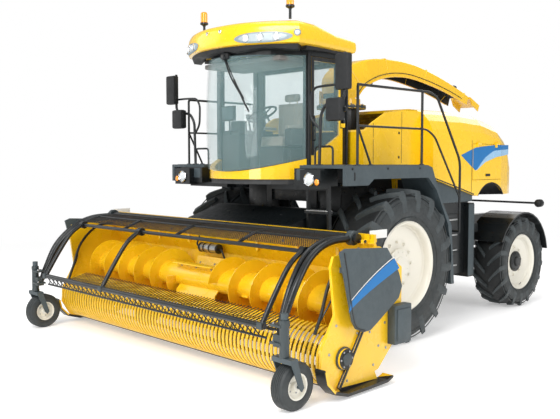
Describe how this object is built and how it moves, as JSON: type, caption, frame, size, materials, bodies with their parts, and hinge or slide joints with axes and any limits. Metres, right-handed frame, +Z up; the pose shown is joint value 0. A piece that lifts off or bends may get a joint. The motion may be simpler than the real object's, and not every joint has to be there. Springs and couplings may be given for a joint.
{
  "type": "forage harvester",
  "caption": "Self-propelled forage harvester with a windrow pickup header, glazed cab, swinging discharge spout and steered rear wheels",
  "frame": {"origin": "on the ground below the middle of the whole machine's length and width, as it stands in road position", "axes": "+Z up, the machine's front faces -Y, its left side is +X"},
  "size_m": [5.134, 7.055, 4.21],
  "materials": {
    "yellow": "gloss yellow paint",
    "grey": "charcoal grey plastic",
    "black": "satin black paint",
    "rubber": "black tyre rubber with cream painted rim",
    "glass": "lightly tinted glass",
    "amber": "amber lens",
    "steel": "bright steel",
    "trim": "cab trim"
  },
  "bodies": {
    "chassis": {"body_panels": "yellow", "cab_floor": "trim", "cab_frame": "black", "cab_nose_band": "yellow", "cab_roof": "yellow", "chassis_frame": "black", "chopper_housing": "black", "driver_seat": "trim", "engine_block": "black", "front_axle": "black", "left_beacon": "amber", "left_handrail": "black", "left_mirror": "black", "left_mudguard": "grey", "left_platform": "black", "left_tank": "black", "rear_axle": "black", "rear_hood": "yellow", "rear_window": "glass", "right_beacon": "amber", "right_handrail": "black", "right_mirror": "black", "right_mudguard": "grey", "right_platform": "black", "right_tank": "black", "right_window": "glass", "steering_column": "trim", "windscreen": "glass"},
    "front_left_wheel": {"front_left_wheel": "rubber"},
    "front_right_wheel": {"front_right_wheel": "rubber"},
    "left_knuckle": {"left_knuckle": "black"},
    "right_knuckle": {"right_knuckle": "black"},
    "rear_left_wheel": {"rear_left_wheel": "rubber"},
    "rear_right_wheel": {"rear_right_wheel": "rubber"},
    "cab_door": {"cab_door": "yellow", "door_glass": "glass"},
    "left_hood_door": {"left_hood_door": "yellow"},
    "right_hood_door": {"right_hood_door": "yellow"},
    "spout_turret": {"spout_turret": "yellow"},
    "spout_arm": {"spout_arm": "yellow"},
    "spout_flap": {"spout_flap": "yellow"},
    "header": {"feed_housing": "black", "header_trough": "yellow", "header_left_end": "yellow", "header_right_end": "yellow", "left_shield": "grey", "right_shield": "grey", "header_top_frame": "black", "pickup_bands": "yellow"},
    "auger": {"auger": "yellow"},
    "pickup_reel": {"pickup_reel": "black"},
    "windguard": {"windguard": "black"},
    "left_caster": {"left_caster_fork": "grey"},
    "right_caster": {"right_caster_fork": "grey"},
    "left_gauge_wheel": {"left_gauge_wheel": "rubber"},
    "right_gauge_wheel": {"right_gauge_wheel": "rubber"},
    "left_lift_barrel": {"left_lift_barrel": "black"},
    "right_lift_barrel": {"right_lift_barrel": "black"},
    "left_lift_rod": {"left_lift_rod": "steel"},
    "right_lift_rod": {"right_lift_rod": "steel"}
  },
  "joints": [
    {"name": "front_left_wheel_spin", "type": "hinge", "parent": "chassis", "child": "front_left_wheel", "pos_m": [1.35, -0.5225, 0.955], "axis": [1, 0, 0], "continuous": true},
    {"name": "front_right_wheel_spin", "type": "hinge", "parent": "chassis", "child": "front_right_wheel", "pos_m": [-1.35, -0.5225, 0.955], "axis": [1, 0, 0], "continuous": true},
    {"name": "left_steer", "type": "hinge", "parent": "chassis", "child": "left_knuckle", "pos_m": [0.84, 2.6875, 0.69], "axis": [0, 0, 1], "range_deg": [-35, 35]},
    {"name": "rear_left_wheel_spin", "type": "hinge", "parent": "left_knuckle", "child": "rear_left_wheel", "pos_m": [1.23, 2.6875, 0.69], "axis": [1, 0, 0], "continuous": true},
    {"name": "right_steer", "type": "hinge", "parent": "chassis", "child": "right_knuckle", "pos_m": [-0.84, 2.6875, 0.69], "axis": [0, 0, 1], "range_deg": [-35, 35]},
    {"name": "rear_right_wheel_spin", "type": "hinge", "parent": "right_knuckle", "child": "rear_right_wheel", "pos_m": [-1.23, 2.6875, 0.69], "axis": [1, 0, 0], "continuous": true},
    {"name": "cab_door_hinge", "type": "hinge", "parent": "chassis", "child": "cab_door", "pos_m": [0.858, -0.8355, 2], "axis": [0, 0, 1], "range_deg": [0, 80]},
    {"name": "left_hood_door_hinge", "type": "hinge", "parent": "chassis", "child": "left_hood_door", "pos_m": [1.27, 1.8975, 2.503], "axis": [0, -1, 0], "range_deg": [0, 70]},
    {"name": "right_hood_door_hinge", "type": "hinge", "parent": "chassis", "child": "right_hood_door", "pos_m": [-1.27, 1.8975, 2.503], "axis": [0, 1, 0], "range_deg": [0, 70]},
    {"name": "spout_slew", "type": "hinge", "parent": "chassis", "child": "spout_turret", "pos_m": [0, 0.0975, 2.98], "axis": [0, 0, 1], "range_deg": [-100, 100]},
    {"name": "spout_lift", "type": "hinge", "parent": "spout_turret", "child": "spout_arm", "pos_m": [0, -0.0425, 3.17], "axis": [1, 0, 0], "range_deg": [0, 30]},
    {"name": "spout_flap_tilt", "type": "hinge", "parent": "spout_arm", "child": "spout_flap", "pos_m": [0, 3.1725, 3.328], "axis": [1, 0, 0], "range_deg": [-40, 10]},
    {"name": "header_lift", "type": "hinge", "parent": "chassis", "child": "header", "pos_m": [0, -0.4225, 1.3], "axis": [-1, 0, 0], "range_deg": [0, 13]},
    {"name": "auger_spin", "type": "hinge", "parent": "header", "child": "auger", "pos_m": [0, -2.3825, 0.84], "axis": [1, 0, 0], "continuous": true},
    {"name": "pickup_spin", "type": "hinge", "parent": "header", "child": "pickup_reel", "pos_m": [0, -2.6825, 0.37], "axis": [1, 0, 0], "continuous": true},
    {"name": "windguard_lift", "type": "hinge", "parent": "header", "child": "windguard", "pos_m": [0, -2.8425, 1.38], "axis": [-1, 0, 0], "range_deg": [0, 50]},
    {"name": "left_caster_swivel", "type": "hinge", "parent": "header", "child": "left_caster", "pos_m": [2.38, -3.4025, 0.66], "axis": [0, 0, 1], "continuous": true},
    {"name": "left_gauge_wheel_spin", "type": "hinge", "parent": "left_caster", "child": "left_gauge_wheel", "pos_m": [2.38, -3.3025, 0.225], "axis": [1, 0, 0], "continuous": true},
    {"name": "right_caster_swivel", "type": "hinge", "parent": "header", "child": "right_caster", "pos_m": [-2.38, -3.4025, 0.66], "axis": [0, 0, 1], "continuous": true},
    {"name": "right_gauge_wheel_spin", "type": "hinge", "parent": "right_caster", "child": "right_gauge_wheel", "pos_m": [-2.38, -3.3025, 0.225], "axis": [1, 0, 0], "continuous": true},
    {"name": "left_barrel_swing", "type": "hinge", "parent": "chassis", "child": "left_lift_barrel", "pos_m": [0.6, -0.7225, 0.66], "axis": [-1, 0, 0], "range_deg": [0, 17.2]},
    {"name": "left_rod_slide", "type": "slide", "parent": "left_lift_barrel", "child": "left_lift_rod", "axis": [0, -0.9893, -0.1461], "range_m": [0, 0.147]},
    {"name": "right_barrel_swing", "type": "hinge", "parent": "chassis", "child": "right_lift_barrel", "pos_m": [-0.6, -0.7225, 0.66], "axis": [-1, 0, 0], "range_deg": [0, 17.2]},
    {"name": "right_rod_slide", "type": "slide", "parent": "right_lift_barrel", "child": "right_lift_rod", "axis": [0, -0.9893, -0.1461], "range_m": [0, 0.147]}
  ],
  "couplings": [
    {"joint": "right_steer", "follows": "left_steer", "ratio": 1},
    {"joint": "left_barrel_swing", "follows": "header_lift", "ratio": 1.31},
    {"joint": "left_rod_slide", "follows": "header_lift", "m_per_rad": 0.64},
    {"joint": "right_barrel_swing", "follows": "header_lift", "ratio": 1.31},
    {"joint": "right_rod_slide", "follows": "header_lift", "m_per_rad": 0.64}
  ]
}
